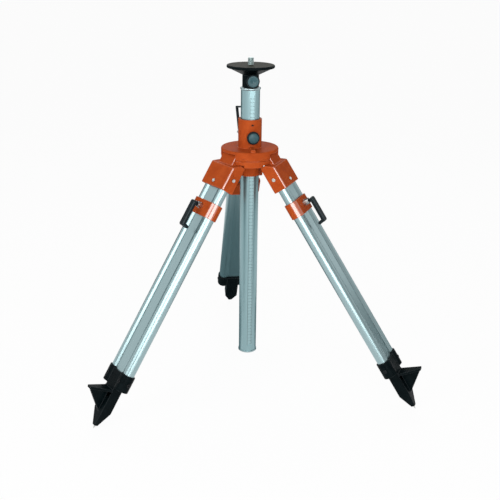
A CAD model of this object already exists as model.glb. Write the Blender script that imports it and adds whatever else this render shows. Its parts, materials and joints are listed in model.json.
import json
import math

import bmesh
import bpy
import numpy as np
from mathutils import Matrix, Vector


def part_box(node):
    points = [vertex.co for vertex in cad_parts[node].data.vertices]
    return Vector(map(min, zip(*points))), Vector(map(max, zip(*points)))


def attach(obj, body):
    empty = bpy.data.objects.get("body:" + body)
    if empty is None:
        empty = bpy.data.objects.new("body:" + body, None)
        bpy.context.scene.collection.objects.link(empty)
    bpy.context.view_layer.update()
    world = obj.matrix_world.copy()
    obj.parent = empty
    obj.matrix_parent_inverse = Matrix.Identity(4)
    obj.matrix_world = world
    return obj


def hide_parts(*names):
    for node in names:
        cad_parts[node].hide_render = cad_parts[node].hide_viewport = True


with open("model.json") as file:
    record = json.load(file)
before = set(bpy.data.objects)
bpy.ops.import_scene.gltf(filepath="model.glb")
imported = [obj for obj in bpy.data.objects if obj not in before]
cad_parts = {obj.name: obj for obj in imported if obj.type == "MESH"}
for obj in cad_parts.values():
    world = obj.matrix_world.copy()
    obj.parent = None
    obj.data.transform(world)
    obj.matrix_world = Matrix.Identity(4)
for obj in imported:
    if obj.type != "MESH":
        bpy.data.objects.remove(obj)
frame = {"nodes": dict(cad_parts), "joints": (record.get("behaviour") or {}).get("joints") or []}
solids = frame["nodes"]
joints = {joint["name"]: joint for joint in frame["joints"]}
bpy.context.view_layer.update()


# Hub casting: the middle of the tripod, one aluminium casting with three leg pockets, an upper
# collar for the brake and the lever, and a lower sleeve. Its mould leaves every edge round,
# and stoved orange enamel covers it, thin and rubbed on the edges.
enamel_deep = (0.350, 0.054, 0.010)
enamel = (0.400, 0.066, 0.013)
enamel_light = (0.455, 0.084, 0.018)
rubbed_metal = (0.46, 0.36, 0.31)
no_metal, all_metal = 0.0, 1.0
same_point, weld_gap = 2e-6, 2e-5
flat_seam, sharp_edge = math.radians(0.6), math.radians(32)


def wire(tree, kind, settings, inputs):
    """New node in a tree. An input that is another node's output is linked, a value is set."""
    made = tree.nodes.new(kind)
    for name, value in settings.items():
        setattr(made, name, value)
    for name, value in inputs.items():
        if isinstance(value, bpy.types.NodeSocket):
            tree.links.new(value, made.inputs[name])
        else:
            made.inputs[name].default_value = value
    return made


def surface(name, metal, shades, mottle, rough, grain, relief, shine=0.5, coords="Object",
            stretch=(1, 1, 1)):
    """Finish whose colour runs through its shades in patches and whose relief is a fine grain.

    mottle and grain are the scales of both noises, rough is the range of the roughness.
    """
    skin = bpy.data.materials.new(name)
    skin.use_nodes = True
    tree = skin.node_tree
    shader = tree.nodes["Principled BSDF"]
    shader.inputs["Metallic"].default_value = metal
    shader.inputs["Specular IOR Level"].default_value = shine
    where = wire(tree, "ShaderNodeTexCoord", {}, {})
    drawn = wire(tree, "ShaderNodeMapping", {},
                 {"Vector": where.outputs[coords], "Scale": stretch})
    patches = wire(tree, "ShaderNodeTexNoise", {},
                   {"Vector": drawn.outputs[0], "Scale": mottle, "Detail": 5.0, "Roughness": 0.6})
    ramp = wire(tree, "ShaderNodeValToRGB", {}, {"Fac": patches.outputs[0]})
    while len(ramp.color_ramp.elements) < len(shades):
        ramp.color_ramp.elements.new(0.5)
    for stop, (position, colour) in zip(ramp.color_ramp.elements, shades):
        stop.position = position
        stop.color = (*colour, 1)
    tree.links.new(ramp.outputs[0], shader.inputs["Base Color"])
    fine = wire(tree, "ShaderNodeTexNoise", {},
                {"Vector": drawn.outputs[0], "Scale": grain, "Detail": 3.0})
    gloss = wire(tree, "ShaderNodeMapRange", {},
                 {"Value": patches.outputs[0], "From Min": 0.25, "From Max": 0.75,
                  "To Min": rough[0], "To Max": rough[1]})
    tree.links.new(gloss.outputs[0], shader.inputs["Roughness"])
    bump = wire(tree, "ShaderNodeBump", {},
                {"Height": fine.outputs[0], "Strength": 0.6, "Distance": relief})
    tree.links.new(bump.outputs[0], shader.inputs["Normal"])
    return skin


def plain(piece):
    """Turns a piece's modifiers into a plain mesh."""
    graph = bpy.context.evaluated_depsgraph_get()
    mesh = bpy.data.meshes.new_from_object(piece.evaluated_get(graph))
    piece.modifiers.clear()
    piece.data = mesh
    return piece


def new_piece(name, data):
    """Object in the scene for a mesh, a curve, a light or a camera."""
    piece = bpy.data.objects.new(name, data)
    bpy.context.scene.collection.objects.link(piece)
    return piece


def rounded(name, solid, skin, edge_skin, radius, steps=3, fillets=True):
    """Copy of a CAD solid with its sharp edges rounded; fillets rounds its inside corners too."""
    cut = solids[solid].data
    mesh = bpy.data.meshes.new(name)
    mesh.from_pydata([v.co for v in cut.vertices], [], [p.vertices[:] for p in cut.polygons])
    shell = bmesh.new()
    shell.from_mesh(mesh)
    bmesh.ops.remove_doubles(shell, verts=shell.verts, dist=same_point)
    bmesh.ops.dissolve_limit(shell, angle_limit=flat_seam, verts=shell.verts, edges=shell.edges)
    for face in shell.faces:
        face.smooth = True
    weight = shell.edges.layers.float.new("bevel_weight_edge")
    for edge in shell.edges:
        turn = edge.calc_face_angle_signed(0)
        edge[weight] = float((abs(turn) if fillets else turn) > sharp_edge)
    shell.to_mesh(mesh)
    shell.free()
    mesh.materials.append(skin)
    mesh.materials.append(edge_skin)
    piece = new_piece(name, mesh)
    bevel = piece.modifiers.new("rounding", "BEVEL")
    bevel.width = radius
    bevel.segments = steps
    bevel.limit_method = "WEIGHT"
    bevel.use_clamp_overlap = False
    bevel.material = 1
    piece.modifiers.new("weld", "WELD").merge_threshold = weld_gap
    even = piece.modifiers.new("even shading", "WEIGHTED_NORMAL")
    even.keep_sharp = False
    return plain(piece)


def fit(piece, body, slot, *nodes):
    """Puts a finished piece on its body, in place of the CAD nodes that it stands for."""
    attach(piece, body)
    if nodes:
        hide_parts(*nodes)


enamel_skin = surface("orange_enamel", no_metal,
                      [(0.3, enamel_deep), (0.5, enamel), (0.75, enamel_light)],
                      mottle=26.0, rough=(0.38, 0.50), grain=520.0, relief=0.0003, shine=0.025)
enamel_edge = surface("rubbed_enamel_edge", no_metal,
                      [(0.3, enamel), (0.62, enamel_light), (0.85, rubbed_metal)],
                      mottle=140.0, rough=(0.30, 0.42), grain=520.0, relief=0.0002, shine=0.2)

hub = rounded("hub_enamelled", "hub_casting", enamel_skin, enamel_edge, radius=0.0012)
fit(hub, "hub", "orange_casting", "hub_casting")


# Guide bushes and hinge pins: sintered bronze rings pressed into collar and sleeve, and plated
# steel pins, one for each leg, pressed into the hub. Enamelled plugs close the pins' holes.
bronze = surface("sintered_bronze", all_metal,
                 [(0.3, (0.36, 0.21, 0.07)), (0.6, (0.52, 0.33, 0.12)), (0.8, (0.60, 0.42, 0.18))],
                 mottle=300.0, rough=(0.32, 0.5), grain=2200.0, relief=0.0001)
zinc = surface("zinc_plated_steel", all_metal,
               [(0.3, (0.42, 0.45, 0.46)), (0.55, (0.60, 0.62, 0.61)), (0.8, (0.70, 0.68, 0.60))],
               mottle=90.0, rough=(0.22, 0.36), grain=1500.0, relief=0.0001)


def dress(skin, *names):
    """Gives CAD solids that stay in view their finish."""
    for name in names:
        solids[name].data.materials.clear()
        solids[name].data.materials.append(skin)


dress(bronze, "guide_bushes")
dress(zinc, "hinge_pins")
dress(enamel_skin, "hinge_plugs")


# Column: a drawn aluminium tube, clear anodised, with fine lines along its length from the die.
# A bright turned ring is on its upper end, and a turned cap closes the lower one.
drawn_alloy = surface("drawn_alloy", all_metal,
                      [(0.3, (0.270, 0.415, 0.440)), (0.7, (0.310, 0.460, 0.485))],
                      mottle=420.0, rough=(0.30, 0.40), grain=1600.0, relief=0.00003,
                      stretch=(1, 1, 0.012))
turned_alloy = surface("turned_alloy", all_metal,
                       [(0.3, (0.33, 0.44, 0.46)), (0.7, (0.40, 0.50, 0.52))],
                       mottle=60.0, rough=(0.24, 0.34), grain=2600.0, relief=0.00004,
                       stretch=(0.1, 0.1, 1))
dress(drawn_alloy, "column_tube")
dress(turned_alloy, "column_ring", "column_cap")


# Graduated strip: a satin aluminium strip let into the column's front, printed with a line for
# each millimetre, longer ones at 5 and 10, a number for each centimetre and a border line.
# From here on, shapes that are drawn new are in mm, and MM brings them to metres.
strip_turn = math.radians(6)
strip_face = 24.898
strip_foot = 103.588
strip_lines = 750
first_line = strip_foot + 5
print_face = strip_face + 0.02
line_end, number_middle, border_middle = 6.9, -3.4, -6.3
border_size = (0.9, 0.05, strip_lines - 4, 1)
number_height, number_relief = 4.2, 0.02
MM = Matrix.Scale(0.001, 4)
ink = surface("scale_ink", no_metal, [(0.3, (0.012, 0.014, 0.016)), (0.7, (0.03, 0.033, 0.036))],
              mottle=900.0, rough=(0.45, 0.6), grain=3000.0, relief=0.00002)
satin_strip = surface("satin_strip", all_metal,
                      [(0.3, (0.300, 0.450, 0.475)), (0.7, (0.340, 0.495, 0.520))],
                      mottle=300.0, rough=(0.36, 0.46), grain=2400.0, relief=0.00003,
                      stretch=(1, 1, 0.03))
dress(satin_strip, "scale_strip")


def node_tree(name, sizes):
    """Geometry node tree with named inputs for its sizes and its finish."""
    tree = bpy.data.node_groups.new(name, "GeometryNodeTree")
    tree.interface.new_socket("Geometry", in_out="INPUT", socket_type="NodeSocketGeometry")
    for label, value in sizes.items():
        kind = "NodeSocketInt" if isinstance(value, int) else "NodeSocketFloat"
        tree.interface.new_socket(label, in_out="INPUT", socket_type=kind).default_value = value
    tree.interface.new_socket("Finish", in_out="INPUT", socket_type="NodeSocketMaterial")
    tree.interface.new_socket("Geometry", in_out="OUTPUT", socket_type="NodeSocketGeometry")
    start = tree.nodes.new("NodeGroupInput")
    return tree, start.outputs


def end_tree(tree, shapes, given):
    """Closes a tree: its instances become real and take their finish."""
    real = wire(tree, "GeometryNodeRealizeInstances", {}, {"Geometry": shapes})
    skinned = wire(tree, "GeometryNodeSetMaterial", {},
                   {"Geometry": real.outputs[0], "Material": given["Finish"]})
    wire(tree, "NodeGroupOutput", {}, {"Geometry": skinned.outputs[0]})


def grown(name, tree, sizes, skin, seats=None):
    """Plain mesh object grown by a node tree, with sizes set by the sockets' identifiers."""
    piece = new_piece(name, seats or bpy.data.meshes.new(name))
    modifier = piece.modifiers.new(name, "NODES")
    modifier.node_group = tree
    for socket in tree.interface.items_tree:
        if socket.in_out == "INPUT" and socket.name in sizes:
            modifier[socket.identifier] = sizes[socket.name]
        if socket.in_out == "INPUT" and socket.name == "Finish":
            modifier[socket.identifier] = skin
    return piece


def reckon(tree, operation, *values):
    """Output of a new math node."""
    made = wire(tree, "ShaderNodeMath", {"operation": operation}, dict(enumerate(values)))
    return made.outputs[0]


def vector(tree, **parts):
    """Output of a new node that joins X, Y and Z."""
    return wire(tree, "ShaderNodeCombineXYZ", {}, parts).outputs[0]


def scale_lines_tree():
    """Row of lines that grow from one end; each fifth is longer, each tenth long and bold."""
    tree, given = node_tree("scale_lines", {"Lines": 100, "Pitch": 1.0, "Short": 2.4,
                                            "Middle": 4.0, "Long": 6.5, "Thickness": 0.3,
                                            "Bold": 2.4, "Depth": 0.05})
    row = wire(tree, "GeometryNodeMeshLine", {},
               {"Count": given["Lines"], "Offset": vector(tree, Z=given["Pitch"])})
    bar_size = vector(tree, X=1.0, Y=given["Depth"], Z=given["Thickness"])
    bar = wire(tree, "GeometryNodeMeshCube", {}, {"Size": bar_size})
    aside = wire(tree, "GeometryNodeTransform", {},
                 {"Geometry": bar.outputs[0], "Translation": (-0.5, 0, 0)})
    number = wire(tree, "GeometryNodeInputIndex", {}, {})
    length = given["Short"]
    for every, reach, less in ((5.0, "Middle", "Short"), (10.0, "Long", "Middle")):
        rest = reckon(tree, "MODULO", number.outputs[0], every)
        hit = reckon(tree, "LESS_THAN", rest, 0.5)
        more = reckon(tree, "SUBTRACT", given[reach], given[less])
        length = reckon(tree, "MULTIPLY_ADD", hit, more, length)
    bolder = reckon(tree, "SUBTRACT", given["Bold"], 1.0)
    weight = reckon(tree, "MULTIPLY_ADD", hit, bolder, 1.0)
    lines = wire(tree, "GeometryNodeInstanceOnPoints", {},
                 {"Points": row.outputs[0], "Instance": aside.outputs[0],
                  "Scale": vector(tree, X=length, Y=1.0, Z=weight)})
    end_tree(tree, lines.outputs[0], given)
    return tree


strip_place = Matrix.Rotation(strip_turn, 4, "Z") @ MM
lines = plain(grown("scale_lines", scale_lines_tree(), {"Lines": strip_lines}, ink))
lines.data.transform(strip_place @ Matrix.Translation((line_end, -print_face, first_line)))
fit(lines, "column", "bright_alloy")

border = bmesh.new()
bmesh.ops.create_cube(border, size=1)
border_mesh = bpy.data.meshes.new("scale_border")
border.to_mesh(border_mesh)
border.free()
border_centre = (border_middle, -print_face, strip_foot + strip_lines / 2)
border_mesh.transform(strip_place @ Matrix.Translation(border_centre)
                      @ Matrix.Diagonal(border_size))
border_mesh.materials.append(ink)
fit(new_piece("scale_border", border_mesh), "column", "bright_alloy")

digits = bmesh.new()
for centimetre in range(1, strip_lines // 10):
    words = bpy.data.curves.new("number", "FONT")
    words.body = str(centimetre)
    words.size = number_height
    words.align_x = "CENTER"
    words.align_y = "CENTER"
    words.resolution_u = 2
    words.extrude = number_relief
    letter = new_piece("number", words)
    mesh = bpy.data.meshes.new_from_object(
        letter.evaluated_get(bpy.context.evaluated_depsgraph_get()))
    spot = (number_middle, -print_face, first_line + 10 * centimetre)
    mesh.transform(Matrix.Translation(spot) @ Matrix.Rotation(math.pi / 2, 4, "X"))
    digits.from_mesh(mesh)
    bpy.data.objects.remove(letter)
    bpy.data.meshes.remove(mesh)
numbers_mesh = bpy.data.meshes.new("scale_numbers")
digits.to_mesh(numbers_mesh)
digits.free()
numbers_mesh.transform(strip_place)
numbers_mesh.materials.append(ink)
fit(new_piece("scale_numbers", numbers_mesh), "column", "bright_alloy")


# Head: the round instrument plate on its cone and neck, one black-enamelled aluminium casting,
# pushed into the column and hollow for the two gears. A bronze bush carries the knob's shaft.
black_enamel = surface("black_enamel", no_metal,
                       [(0.3, (0.001, 0.003, 0.004)), (0.55, (0.002, 0.005, 0.006)),
                        (0.8, (0.005, 0.009, 0.011))],
                       mottle=70.0, rough=(0.34, 0.46), grain=640.0, relief=0.0003, shine=0.04)
black_edge = surface("rubbed_black_edge", no_metal,
                     [(0.3, (0.005, 0.008, 0.010)), (0.65, (0.011, 0.015, 0.017)),
                      (0.85, (0.07, 0.07, 0.07))],
                     mottle=160.0, rough=(0.32, 0.44), grain=640.0, relief=0.0002, shine=0.1)
plate_skin = surface("machined_plate", no_metal,
                     [(0.3, (0.033, 0.034, 0.027)), (0.7, (0.046, 0.047, 0.038))],
                     mottle=40.0, rough=(0.44, 0.52), grain=900.0, relief=0.0001, shine=0.02)
head = rounded("head_enamelled", "head_casting", black_enamel, black_edge, radius=0.0009)
head.data.materials.append(plate_skin)
plate_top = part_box("head_casting")[1].z
third_finish = 2
for face in head.data.polygons:
    if face.center.z > plate_top - 1e-5 and face.normal.z > 0.99:
        face.material_index = third_finish
fit(head, "column", "black_casting", "head_casting")
dress(bronze, "shaft_bush", "crown_gear")
dress(zinc, "pinion_shaft")


# Instrument screw: a 5/8-inch stud that turns in the plate and holds the instrument, rolled
# thread on satin zinc-plated steel, with its flange and shank under the plate.
satin_zinc = surface("satin_zinc", all_metal,
                     [(0.3, (0.34, 0.44, 0.44)), (0.7, (0.50, 0.58, 0.57))],
                     mottle=90.0, rough=(0.42, 0.52), grain=1500.0, relief=0.00005)
recess = 1.2
thread_pitch = 2.309
thread_r, thread_root = 7.93, 7.25
thread_top, chamfer_start = 18.45, 17.0
crest_width, flank_slope = 1.25, 2.9
thread_steps, thread_rows = 64, 130


def turned(name, outline, steps=72):
    """Mesh turned round the Z axis from an outline of (radius, height) points."""
    turn = [(math.cos(2 * math.pi * k / steps), math.sin(2 * math.pi * k / steps))
            for k in range(steps)]
    shell = bmesh.new()
    rows = []
    for radius, height in outline:
        if radius < 1e-6:
            rows.append([shell.verts.new((0, 0, height))] * steps)
        else:
            rows.append([shell.verts.new((radius * c, radius * s, height)) for c, s in turn])
    for low, high in zip(rows, rows[1:]):
        for k in range(steps):
            corners = []
            for corner in (low[k], low[(k + 1) % steps], high[(k + 1) % steps], high[k]):
                if corner not in corners:
                    corners.append(corner)
            if len(corners) > 2:
                shell.faces.new(corners).smooth = True
    bmesh.ops.recalc_face_normals(shell, faces=shell.faces)
    mesh = bpy.data.meshes.new(name)
    shell.to_mesh(mesh)
    shell.free()
    mesh.set_sharp_from_angle(angle=math.radians(35))
    return mesh


def thread_radius(height, angle):
    """Radius of the rolled thread; it runs out into the chamfer at the top."""
    phase = (height / thread_pitch - angle / (2 * math.pi)) % 1.0
    flank = min(1.0, max(0.0, crest_width - flank_slope * abs(phase - 0.5)))
    chamfer = max(0.0, height - chamfer_start)
    return min(thread_root + (thread_r - thread_root) * flank, thread_r - chamfer)


points, faces = [], []
for row in range(thread_rows):
    height = -recess + (thread_top + recess) * row / (thread_rows - 1)
    for step in range(thread_steps):
        angle = 2 * math.pi * step / thread_steps
        radius = thread_radius(height, angle)
        points.append((radius * math.cos(angle), radius * math.sin(angle), height))
for row in range(thread_rows - 1):
    for step in range(thread_steps):
        after = (step + 1) % thread_steps
        faces.append((row * thread_steps + step, row * thread_steps + after,
                      (row + 1) * thread_steps + after, (row + 1) * thread_steps + step))
faces.append(tuple(range((thread_rows - 1) * thread_steps, thread_rows * thread_steps)))
faces.append(tuple(reversed(range(thread_steps))))
thread = bpy.data.meshes.new("thread")
thread.from_pydata(points, [], faces)
thread.shade_smooth()
thread.set_sharp_from_angle(angle=math.radians(50))
shank = turned("shank", [(0, -30), (5, -30), (5, -25.3), (11.9, -25.3), (11.9, -21.3),
                         (6.9, -21.3), (6.9, -recess), (0, -recess)], 48)
screw_shell = bmesh.new()
screw_shell.from_mesh(thread)
screw_shell.from_mesh(shank)
screw_mesh = bpy.data.meshes.new("instrument_screw_threaded")
screw_shell.to_mesh(screw_mesh)
screw_shell.free()
screw_mesh.transform(MM @ Matrix.Translation((0, 0, 1000 * plate_top)))
screw_mesh.materials.append(satin_zinc)
fit(new_piece("instrument_screw_threaded", screw_mesh), "instrument_screw", "zinc_steel",
    "instrument_screw")


# Head knob: a moulded black knob with a ribbed rim and a grey face plate snapped in; it is
# pressed on the pinion's shaft and turns the instrument screw.
moulded_black = surface("moulded_black", no_metal,
                        [(0.3, (0.005, 0.009, 0.011)), (0.6, (0.009, 0.015, 0.018)),
                         (0.8, (0.016, 0.023, 0.027))],
                        mottle=120.0, rough=(0.34, 0.46), grain=1500.0, relief=0.00012, shine=0.12)
knob_grey = surface("knob_grey", no_metal,
                    [(0.3, (0.024, 0.074, 0.088)), (0.6, (0.030, 0.088, 0.104)),
                     (0.8, (0.040, 0.106, 0.124))],
                    mottle=150.0, rough=(0.30, 0.42), grain=1800.0, relief=0.0001, shine=0.3)


def turn_place(joint):
    """Place of a turned piece in mm, with its Z along the axis of a joint."""
    axis = Vector(joints[joint]["axis"])
    turn = axis.to_track_quat("Z", "Y").to_matrix().to_4x4()
    return Matrix.Translation(joints[joint]["pos_m"]) @ turn @ MM


def knob_ribs_tree():
    """Ring of round ribs along the Z axis."""
    tree, given = node_tree("knob_ribs", {"Ribs": 40, "Circle": 17.3, "Rib Radius": 0.65,
                                          "Length": 12.0})
    circle = wire(tree, "GeometryNodeMeshCircle", {},
                  {"Vertices": given["Ribs"], "Radius": given["Circle"]})
    rib = wire(tree, "GeometryNodeMeshCylinder", {},
               {"Vertices": 10, "Radius": given["Rib Radius"], "Depth": given["Length"]})
    ribs = wire(tree, "GeometryNodeInstanceOnPoints", {},
                {"Points": circle.outputs[0], "Instance": rib.outputs["Mesh"]})
    end_tree(tree, ribs.outputs[0], given)
    return tree


rib_tree = knob_ribs_tree()


def ribbed(name, length, middle, place):
    """Ribs of a knob's rim, with their middle at a height above the knob's origin."""
    ribs = plain(grown(name, rib_tree, {"Length": length}, moulded_black))
    ribs.data.transform(place @ Matrix.Translation((0, 0, middle)))
    return ribs


def placed(name, mesh, skin, place):
    """Piece with a finish, from a mesh that is moved to its place."""
    mesh.transform(place)
    mesh.materials.append(skin)
    return new_piece(name, mesh)


knob_place = turn_place("knob_turn")
knob = turned("head_knob_moulded",
              [(0, 39.8), (4.05, 39.8), (4.05, 26.5), (15.5, 26.5), (16.8, 27.3), (17.3, 28.5),
               (17.3, 42.8), (16.9, 44.1), (15.9, 44.8), (15.1, 44.8), (14.7, 44.3), (0, 44.3)])
fit(placed("head_knob_moulded", knob, moulded_black, knob_place), "head_knob", "grey_knob",
    "head_knob")
face = turned("head_knob_face", [(0, 43.9), (14.5, 43.9), (14.5, 44.5), (14.1, 44.9), (13.2, 45.0),
                                 (4.2, 45.0), (3.9, 44.8), (0, 44.8)])
fit(placed("head_knob_face", face, knob_grey, knob_place), "head_knob", "grey_knob")
ribs = ribbed("head_knob_ribs", length=13.6, middle=35.6, place=knob_place)
fit(ribs, "head_knob", "grey_knob")


# Column brake: a knob whose screw presses a bronze pad on the column's flat. The knob is
# moulded black with a ribbed rim and a domed grey cap. A grub screw above it holds the bush.
blackened = surface("blackened_steel", all_metal,
                    [(0.3, (0.014, 0.016, 0.018)), (0.7, (0.030, 0.033, 0.036))],
                    mottle=200.0, rough=(0.34, 0.46), grain=1500.0, relief=0.0001)
brake_place = turn_place("brake_turn")
dress(bronze, "brake_pad")
dress(zinc, "brake_screw")
knob = turned("brake_knob_moulded",
              [(0, 41.8), (5.05, 41.8), (5.05, 35.8), (15.6, 35.8), (16.8, 36.5), (17.3, 37.6),
               (17.3, 43.0), (16.9, 44.2), (16.0, 44.9), (14.6, 45.0), (14.2, 44.6), (0, 44.6)])
fit(placed("brake_knob_moulded", knob, moulded_black, brake_place), "brake_knob", "grey_knob",
    "brake_knob")
cap_r, cap_foot, cap_rim, cap_rise = 13.95, 44.3, 44.4, 3.5
dome = [(cap_r * math.cos(a), cap_rim + cap_rise * math.sin(a))
        for a in np.linspace(0, math.pi / 2, 14)]
cap = turned("brake_knob_cap", [(0, cap_foot), (cap_r, cap_foot)] + dome[:-1]
             + [(0, cap_rim + cap_rise)])
fit(placed("brake_knob_cap", cap, knob_grey, brake_place), "brake_knob", "grey_knob")
ribs = ribbed("brake_knob_ribs", length=5.6, middle=40.2, place=brake_place)
fit(ribs, "brake_knob", "grey_knob")
set_screw_drop = 0.014
set_screw_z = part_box("hub_casting")[1].z - set_screw_drop
lift = Matrix.Translation((0, 0, set_screw_z - joints["brake_turn"]["pos_m"][2]))
grub = turned("set_screw", [(0, 28.2), (2.4, 28.2), (2.4, 31.2), (2.1, 31.5), (1.3, 31.5),
                            (1.2, 29.8), (0, 29.8)], 24)
fit(placed("set_screw", grub, blackened, lift @ brake_place), "hub", "black_steel")


# Column lever: a moulded black cam lever on a slotted, zinc-plated post. It pushes a bronze
# plunger against the column.
lever_edge = surface("lever_edge", no_metal,
                     [(0.3, (0.006, 0.013, 0.016)), (0.7, (0.014, 0.025, 0.030))],
                     mottle=120.0, rough=(0.26, 0.36), grain=1500.0, relief=0.0001, shine=0.22)
dress(zinc, "grip_post", "grip_pin")
dress(bronze, "grip_plunger")
lever = rounded("grip_lever_moulded", "grip_lever", moulded_black, lever_edge, radius=0.0012,
                steps=4, fillets=False)
fit(lever, "grip_lever", "black_plastic", "grip_lever")


# Leg shoulders: orange-enamelled castings that hang on the hinge pins and hold the upper
# sections, polished along their round edges. Three socket-head screws pin each to its section.
leg_names = ("back", "left", "right")
polished_edge = surface("polished_enamel_edge", no_metal,
                        [(0.3, enamel), (0.62, enamel_light), (0.85, rubbed_metal)],
                        mottle=140.0, rough=(0.26, 0.40), grain=520.0, relief=0.0002)
for name, value in (("Coat Weight", 1.0), ("Coat IOR", 2.2), ("Coat Roughness", 0.12)):
    polished_edge.node_tree.nodes["Principled BSDF"].inputs[name].default_value = value


def leg_place(name):
    """Place of a leg's pieces in mm: X outwards from the leg, Y across it, Z up along it."""
    across = Vector(joints["leg_fold_" + name]["axis"])
    along = -Vector(joints["leg_extend_" + name]["axis"])
    turn = Matrix((across.cross(along), across, along)).transposed().to_4x4()
    return Matrix.Translation(joints["leg_fold_" + name]["pos_m"]) @ turn @ MM


def leg_reach(node, place):
    """Half of a CAD solid's width across its leg, in mm."""
    level = place.inverted()
    return max((level @ corner.co).y for corner in solids[node].data.vertices)


def polish(piece, place):
    """Polishes the round edges along a leg's outer side."""
    piece.data.materials.append(polished_edge)
    level = place.to_3x3().normalized().transposed()
    for face in piece.data.polygons:
        out, across, along = level @ face.normal
        if min(out, abs(across)) > 0.2 and abs(along) < 0.3:
            face.material_index = third_finish


leg_places = [leg_place(name) for name in leg_names]
shoulder_side = leg_reach("shoulder_back", leg_places[0])


def screw_heads_tree():
    """Socket heads on seats whose attribute "out" gives the way that each one points."""
    tree, given = node_tree("screw_heads", {"Head Diameter": 10.0, "Head Height": 3.0,
                                            "Socket": 5.0, "Shank Diameter": 4.9,
                                            "Shank Length": 5.0})

    def bar(sides, width, radius_share, depth, middle):
        """Bar along the Z axis; its radius is a share of its width, its middle one of its depth."""
        radius = reckon(tree, "MULTIPLY", given[width], radius_share)
        body = wire(tree, "GeometryNodeMeshCylinder", {},
                    {"Vertices": sides, "Radius": radius, "Depth": given[depth]})
        height = vector(tree, Z=reckon(tree, "MULTIPLY", given[depth], middle))
        moved = wire(tree, "GeometryNodeTransform", {},
                     {"Geometry": body.outputs["Mesh"], "Translation": height})
        return moved.outputs[0]

    head = bar(32, "Head Diameter", radius_share=0.5, depth="Head Height", middle=0.5)
    hexagon = bar(6, "Socket", radius_share=0.577, depth="Head Height", middle=1.0)
    shaft = bar(20, "Shank Diameter", radius_share=0.5, depth="Shank Length", middle=-0.5)
    socket = wire(tree, "GeometryNodeMeshBoolean", {"operation": "DIFFERENCE"},
                  {"Mesh 1": head, "Mesh 2": hexagon})
    screw = wire(tree, "GeometryNodeJoinGeometry", {}, {"Geometry": socket.outputs[0]})
    tree.links.new(shaft, screw.inputs[0])
    out = wire(tree, "GeometryNodeInputNamedAttribute", {"data_type": "FLOAT_VECTOR"},
               {"Name": "out"})
    aim = wire(tree, "FunctionNodeAlignRotationToVector", {"axis": "Z"}, {"Vector": out.outputs[0]})
    screws = wire(tree, "GeometryNodeInstanceOnPoints", {},
                  {"Points": given["Geometry"], "Instance": screw.outputs[0],
                   "Rotation": aim.outputs[0]})
    end_tree(tree, screws.outputs[0], given)
    return tree


screw_tree = screw_heads_tree()
broken_edge = 0.35
outer_seat, outer_screw_s, side_screw_s = 19.75, 80, 60


def screws(name, seats, sizes, place, skin):
    """Screws on seats, each a point and the way its head points, with softly broken edges."""
    base = bpy.data.meshes.new(name)
    base.from_pydata([point for point, out in seats], [], [])
    base.attributes.new("out", "FLOAT_VECTOR", "POINT").data.foreach_set(
        "vector", [part for point, out in seats for part in out])
    piece = grown(name, screw_tree, sizes, skin, base)
    bevel = piece.modifiers.new("broken edges", "BEVEL")
    bevel.width = broken_edge
    bevel.segments = 2
    bevel.limit_method = "ANGLE"
    plain(piece)
    piece.data.transform(place)
    return piece


for name, place in zip(leg_names, leg_places):
    upper = "leg_upper_" + name
    shoulder = rounded("shoulder_enamelled_" + name, "shoulder_" + name, enamel_skin, enamel_edge,
                       radius=0.0022, steps=4)
    polish(shoulder, place)
    fit(shoulder, upper, "orange_casting", "shoulder_" + name)
    seats = [((outer_seat, 0, -outer_screw_s), (1, 0, 0)),
             ((0, shoulder_side, -side_screw_s), (0, 1, 0)),
             ((0, -shoulder_side, -side_screw_s), (0, -1, 0))]
    heads = screws("shoulder_socket_screws_" + name, seats, {"Shank Length": 5.4}, place, zinc)
    fit(heads, upper, "zinc_steel", "shoulder_screws_" + name)


# Leg sections: two extruded aluminium profiles, each a pair of tubes joined by a web, the upper
# one sliding in the lower. Clear anodised, with fine lines along the extrusion.
extruded_alloy = surface("extruded_alloy", all_metal,
                         [(0.3, (0.330, 0.455, 0.475)), (0.7, (0.375, 0.505, 0.525))],
                         mottle=0.2, rough=(0.29, 0.36), grain=1.0, relief=0.000005,
                         coords="UV", stretch=(1, 0.006, 1))
leg_wall = 1.6
lower_tube, lower_web, lower_fillet = 16, 11, 2.0
upper_tube, upper_web, upper_fillet = 14, 9, 1.6
upper_ends, lower_ends = (37, 684.7), (142, 697)
fillet_steps, tube_steps = 6, 24
half_pitch = leg_reach("lower_section_back", leg_places[0]) - lower_tube


def section_outline(tube_r, web_half, fillet):
    """Outline of the pair of tubes and their web, with filleted corners."""
    reach = tube_r + fillet
    corner_n = web_half + fillet
    corner_t = half_pitch - math.sqrt(reach * reach - corner_n * corner_n)
    lean = math.atan2(corner_n, corner_t - half_pitch)
    quarter = [(web_half, 0.0)]
    low = math.atan2(half_pitch - corner_t, corner_n)
    for k in range(fillet_steps + 1):
        a = math.pi + (math.pi / 2 - low) * k / fillet_steps
        quarter.append((corner_n + fillet * math.cos(a), corner_t + fillet * math.sin(a)))
    for k in range(1, tube_steps + 1):
        a = lean * (1 - k / tube_steps)
        quarter.append((tube_r * math.sin(a), half_pitch + tube_r * math.cos(a)))
    half = quarter + [(-n, t) for n, t in reversed(quarter[:-1])]
    return half[:-1] + [(-n, -t) for n, t in half[:-1]]


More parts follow.
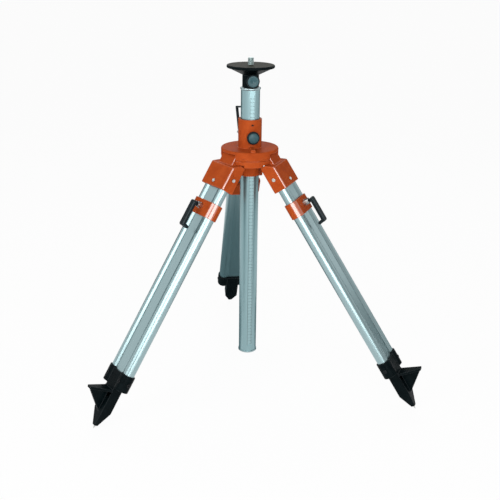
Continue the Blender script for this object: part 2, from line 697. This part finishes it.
def extrusion(name, outer, inner, start, end):
    """Hollow section between two distances from the hinge, with UV in mm round and along it."""
    count = len(outer)
    points = []
    for loop, s in ((outer, start), (outer, end), (inner, end), (inner, start)):
        points += [(n, t, -s) for n, t in loop]
    faces = [(r * count + k, r * count + (k + 1) % count,
              (r + 1) % 4 * count + (k + 1) % count, (r + 1) % 4 * count + k)
             for r in range(4) for k in range(count)]
    mesh = bpy.data.meshes.new(name)
    mesh.from_pydata(points, [], faces)
    shell = bmesh.new()
    shell.from_mesh(mesh)
    bmesh.ops.recalc_face_normals(shell, faces=shell.faces)
    around = [0.0]
    for a, b in zip(outer, outer[1:] + outer[:1]):
        around.append(around[-1] + math.dist(a, b))
    layer = shell.loops.layers.uv.new("along")
    for face in shell.faces:
        face.smooth = True
        ks = [loop.vert.index % count for loop in face.loops]
        for loop, k in zip(face.loops, ks):
            u = around[count] if k == 0 and count - 1 in ks else around[k]
            loop[layer].uv = (u, -loop.vert.co.z)
    shell.to_mesh(mesh)
    shell.free()
    mesh.set_sharp_from_angle(angle=math.radians(30))
    return mesh


profiles = []
for part, tube, web, fillet, ends in (
        ("upper", upper_tube, upper_web, upper_fillet, upper_ends),
        ("lower", lower_tube, lower_web, lower_fillet, lower_ends)):
    outer = section_outline(tube, web, fillet)
    inner = section_outline(tube - leg_wall, web - leg_wall, fillet)
    profiles.append((part, outer, inner, ends))
for name, place in zip(leg_names, leg_places):
    for part, outer, inner, (start, end) in profiles:
        node = part + "_section_" + name
        mesh = extrusion(node, outer, inner, start, end)
        fit(placed(part + "_extrusion_" + name, mesh, extruded_alloy, place),
            "leg_" + part + "_" + name, "bright_alloy", node)
    dress(moulded_black, "glide_" + name)


# Leg clamps: orange-enamelled housings on the lower sections. A moulded black cam lever on a
# slotted post pushes a bronze plunger against the upper section.
for name, place in zip(leg_names, leg_places):
    housing = rounded("clamp_enamelled_" + name, "clamp_housing_" + name, enamel_skin, enamel_edge,
                      radius=0.0011)
    polish(housing, place)
    fit(housing, "leg_lower_" + name, "orange_casting", "clamp_housing_" + name)
    lever = rounded("clamp_lever_moulded_" + name, "clamp_lever_" + name, moulded_black, lever_edge,
                    radius=0.0028, steps=4, fillets=False)
    fit(lever, "clamp_lever_" + name, "black_plastic", "clamp_lever_" + name)
    dress(zinc, "clamp_post_" + name, "clamp_pin_" + name)
    dress(bronze, "clamp_plunger_" + name)


# Shoes: black castings on the ends of the lower sections, each with a pointed blade, a step
# pedal and a hardened spike; four screws hold each shoe.
cup_seat, cup_screw_s = 18.5, 678.5
for name, place in zip(leg_names, leg_places):
    shoe = rounded("shoe_enamelled_" + name, "shoe_" + name, black_enamel, black_edge,
                   radius=0.0012)
    fit(shoe, "leg_lower_" + name, "black_casting", "shoe_" + name)
    seats = [((cup_seat, half_pitch, -cup_screw_s), (1, 0, 0)),
             ((cup_seat, -half_pitch, -cup_screw_s), (1, 0, 0)),
             ((0, half_pitch + cup_seat, -cup_screw_s), (0, 1, 0)),
             ((0, -half_pitch - cup_seat, -cup_screw_s), (0, -1, 0))]
    heads = screws("shoe_socket_screws_" + name, seats, {"Shank Length": 2.2}, place, blackened)
    fit(heads, "leg_lower_" + name, "black_steel", "shoe_screws_" + name)
    dress(zinc, "spike_" + name)


# Studio: a pale floor that keeps a faint shadow, a white backdrop for the camera and for
# reflections, a dimmer room on the camera's side, four soft lights and four dark cards.
floor_reach = 40
floor_white_share = 0.95
dim_side, bright_side, fill_level = 0.5, 1.0, 0.38


def seen_rays(tree):
    """Light path node, and 1 for the rays that the camera sees directly or by a reflection."""
    path = wire(tree, "ShaderNodeLightPath", {}, {})
    seen = reckon(tree, "MAXIMUM", path.outputs["Is Camera Ray"], path.outputs["Is Glossy Ray"])
    return path, reckon(tree, "MAXIMUM", seen, path.outputs["Is Transmission Ray"])


floor_mesh = bpy.data.meshes.new("studio_floor")
floor_mesh.from_pydata([(-floor_reach, -floor_reach, 0), (floor_reach, -floor_reach, 0),
                        (floor_reach, floor_reach, 0), (-floor_reach, floor_reach, 0)],
                       [], [(0, 1, 2, 3)])
floor = new_piece("studio_floor", floor_mesh)
pale = bpy.data.materials.new("pale_floor")
pale.use_nodes = True
tree = pale.node_tree
tree.nodes.remove(tree.nodes["Principled BSDF"])
path, seen = seen_rays(tree)
share = reckon(tree, "MULTIPLY", seen, floor_white_share)
matt = wire(tree, "ShaderNodeBsdfDiffuse", {}, {"Color": (0.85, 0.85, 0.85, 1)})
white = wire(tree, "ShaderNodeEmission", {}, {"Color": (1, 1, 1, 1), "Strength": 1.0})
both = wire(tree, "ShaderNodeMixShader", {}, {0: share, 1: matt.outputs[0], 2: white.outputs[0]})
tree.links.new(both.outputs[0], tree.nodes["Material Output"].inputs["Surface"])
floor_mesh.materials.append(pale)

world = bpy.data.worlds.new("studio")
world.use_nodes = True
bpy.context.scene.world = world
tree = world.node_tree
path, seen = seen_rays(tree)
where = wire(tree, "ShaderNodeTexCoord", {}, {})
towards = wire(tree, "ShaderNodeSeparateXYZ", {}, {0: where.outputs["Generated"]})
room = wire(tree, "ShaderNodeMapRange", {},
            {"Value": towards.outputs["Y"], "From Min": -0.3, "From Max": 0.5,
             "To Min": dim_side, "To Max": bright_side})
white = reckon(tree, "MAXIMUM", room.outputs[0], path.outputs["Is Camera Ray"])
level = wire(tree, "ShaderNodeMix", {"data_type": "FLOAT"},
             {"Factor": seen, "A": fill_level, "B": white})
tree.links.new(level.outputs[0], tree.nodes["Background"].inputs["Strength"])
tree.nodes["Background"].inputs["Color"].default_value = (1, 1, 1, 1)


def soft_light(name, place, target, width, height, power):
    """Area light in metres and watts, turned to a target."""
    lamp = bpy.data.lights.new(name, "AREA")
    lamp.shape = "RECTANGLE"
    lamp.size = width
    lamp.size_y = height
    lamp.energy = power
    holder = new_piece(name, lamp)
    holder.location = place
    holder.rotation_euler = (Vector(target) - Vector(place)).to_track_quat("-Z", "Y").to_euler()


soft_light("key_light", (-2.0, -1.5, 1.8), (0, 0, 0.45), 1.8, 1.3, 26)
soft_light("front_light", (0.1, -2.7, 1.15), (0, 0, 0.5), 2.2, 1.3, 38)
soft_light("strip_light", (0.3, -2.5, 1.95), (0, 0, 0.7), 2.4, 0.3, 9)
soft_light("top_light", (0.2, 1.4, 2.6), (0, 0, 0.6), 1.2, 1.2, 14)


def shade_card(name, grey, corners):
    """Card that only reflections show; it draws the dark lines on bright metal."""
    mesh = bpy.data.meshes.new(name)
    mesh.from_pydata(corners, [], [(0, 1, 2, 3)])
    matt = surface(name, no_metal, [(0.3, grey), (0.7, grey)],
                   mottle=2.0, rough=(0.8, 0.9), grain=20.0, relief=0.0, shine=0.0)
    mesh.materials.append(matt)
    card = new_piece(name, mesh)
    for ray in ("camera", "diffuse", "shadow", "transmission"):
        setattr(card, "visible_" + ray, False)


for name, side in (("card_left", -1), ("card_right", 1)):
    shade_card(name, (0.09, 0.15, 0.16), [(0.45 * side, 1.95, 0), (1.5 * side, 1.1, 0),
                                          (1.5 * side, 1.1, 1.5), (0.45 * side, 1.95, 1.5)])
shade_card("card_far", (0.14, 0.20, 0.21), [(1.5, 1.1, 0), (2.4, 0.0, 0),
                                            (2.4, 0.0, 0.4), (1.5, 1.1, 0.4)])
shade_card("card_low", (0.26, 0.36, 0.38), [(-0.5, 0.05, 0.001), (0.5, 0.05, 0.001),
                                            (0.5, 0.95, 0.001), (-0.5, 0.95, 0.001)])


# Camera: where the photograph was taken from, a little left of the front and above the head,
# turned down and rolled a little as the photograph is.
turn, drop, roll = math.radians(-7.436), math.radians(21.1355), math.radians(0.7261)
camera_distance, camera_height = 2.0654, 1.2038
stand = Vector((math.sin(turn) * camera_distance, -math.cos(turn) * camera_distance, camera_height))
ahead = Vector((-math.sin(turn) * math.cos(drop), math.cos(turn) * math.cos(drop), -math.sin(drop)))
level_right = Vector((math.cos(turn), math.sin(turn), 0))
level_up = level_right.cross(ahead)
right = level_right * math.cos(roll) + level_up * math.sin(roll)
up = level_up * math.cos(roll) - level_right * math.sin(roll)
lens = bpy.data.cameras.new("camera")
lens.lens = 54.459
lens.sensor_width = 36
lens.shift_x = 0.00306
lens.shift_y = -0.00078
camera = new_piece("camera", lens)
camera.matrix_world = Matrix.Translation(stand) @ Matrix((right, up, -ahead)).transposed().to_4x4()
bpy.context.scene.camera = camera
bpy.context.scene.view_settings.view_transform = "Standard"
